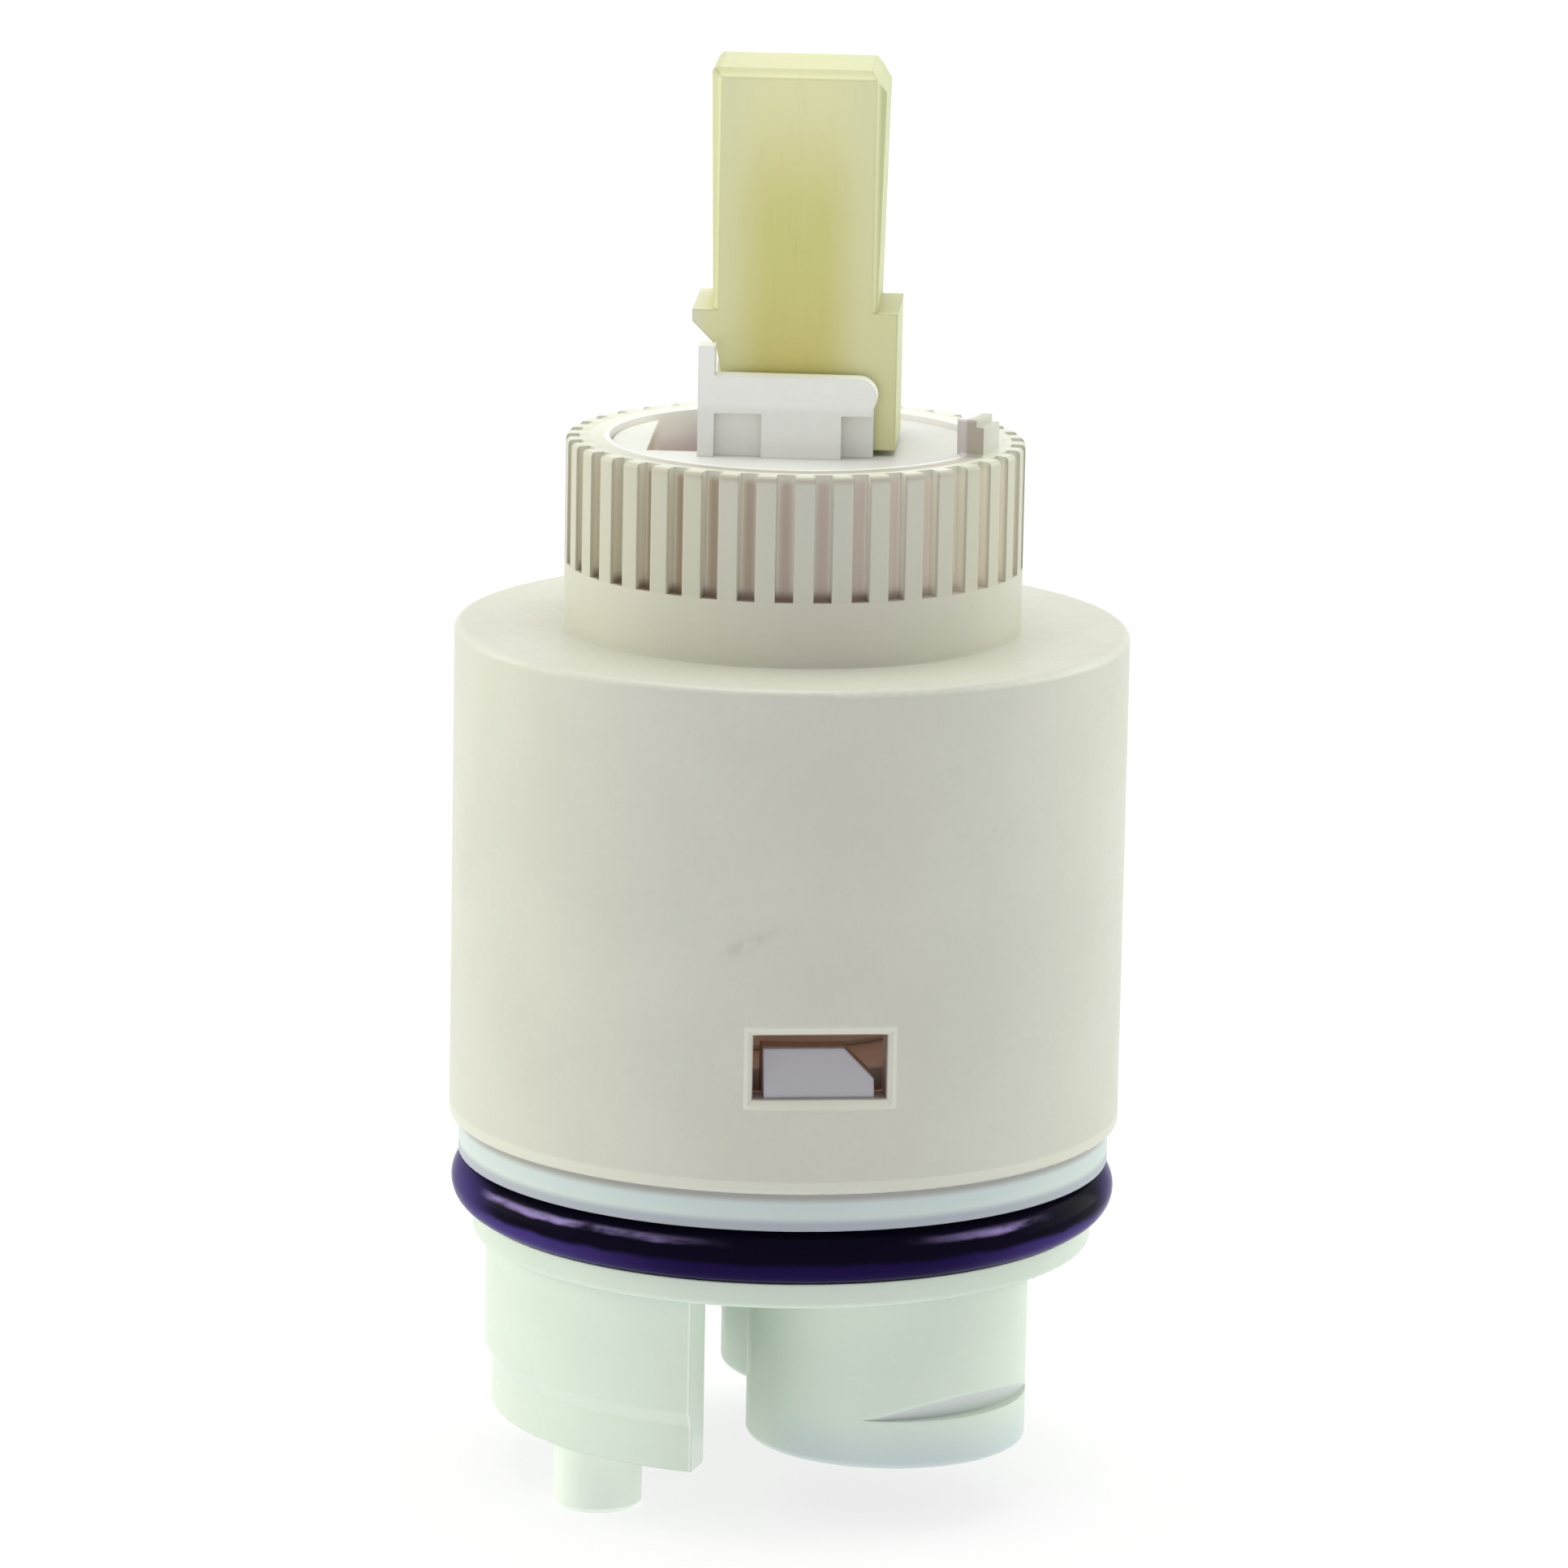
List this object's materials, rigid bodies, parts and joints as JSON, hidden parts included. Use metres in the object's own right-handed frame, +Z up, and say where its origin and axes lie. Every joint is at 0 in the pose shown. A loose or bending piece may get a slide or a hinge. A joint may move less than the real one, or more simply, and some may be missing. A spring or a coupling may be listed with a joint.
{
  "type": "mixer tap cartridge",
  "caption": "Single-lever ceramic disc mixer cartridge: barrel housing with splined collar, tilting and turning lever, sliding disc, white base with O-ring, inlet tubes and locating pegs.",
  "frame": {"origin": "on the turning axis, level with the ends of the locating pegs", "axes": "+Z up along the turning axis towards the lever, +X from the outlet towards the inlet tubes, -Y through the front latch window"},
  "size_m": [0.035, 0.035, 0.0743],
  "materials": {
    "housing_plastic": "satin moulded, beige",
    "base_plastic": "satin moulded, cool white",
    "ring_rubber": "smooth, greased, near black violet",
    "seal_rubber": "smooth black",
    "disc_ceramic": "ground and lapped",
    "carrier_plastic": "moulded",
    "glide_plastic": "smooth",
    "rotor_plastic": "moulded, white",
    "pin_steel": "ground",
    "lever_plastic": "glass-filled, straw yellow"
  },
  "bodies": {
    "shell": {"housing": "housing_plastic", "base": "base_plastic", "base_o_ring": "ring_rubber", "hot_port_seal": "seal_rubber", "cold_port_seal": "seal_rubber", "outlet_port_seal": "seal_rubber", "hot_inlet_seal": "seal_rubber", "cold_inlet_seal": "seal_rubber", "fixed_disc": "disc_ceramic", "glide_ring": "glide_plastic"},
    "rotor": {"rotor": "rotor_plastic", "neck_o_ring": "ring_rubber", "pivot_pin": "pin_steel"},
    "lever": {"lever": "lever_plastic"},
    "carriage": {"moving_disc": "disc_ceramic", "carrier": "carrier_plastic", "carrier_seal": "seal_rubber"}
  },
  "joints": [
    {"name": "temperature_turn", "type": "hinge", "parent": "shell", "child": "rotor", "pos_m": [0, 0, 0.0471], "axis": [0, 0, 1], "range_deg": [-36, 54]},
    {"name": "lever_tilt", "type": "hinge", "parent": "rotor", "child": "lever", "pos_m": [0, 0, 0.0471], "axis": [-0.1564, -0.9877, 0], "range_deg": [0, 24]},
    {"name": "disc_slide", "type": "slide", "parent": "rotor", "child": "carriage", "axis": [0.9877, -0.1564, 0], "range_m": [0, 0.00432]}
  ],
  "couplings": [
    {"joint": "disc_slide", "follows": "lever_tilt", "m_per_rad": 0.010293}
  ]
}
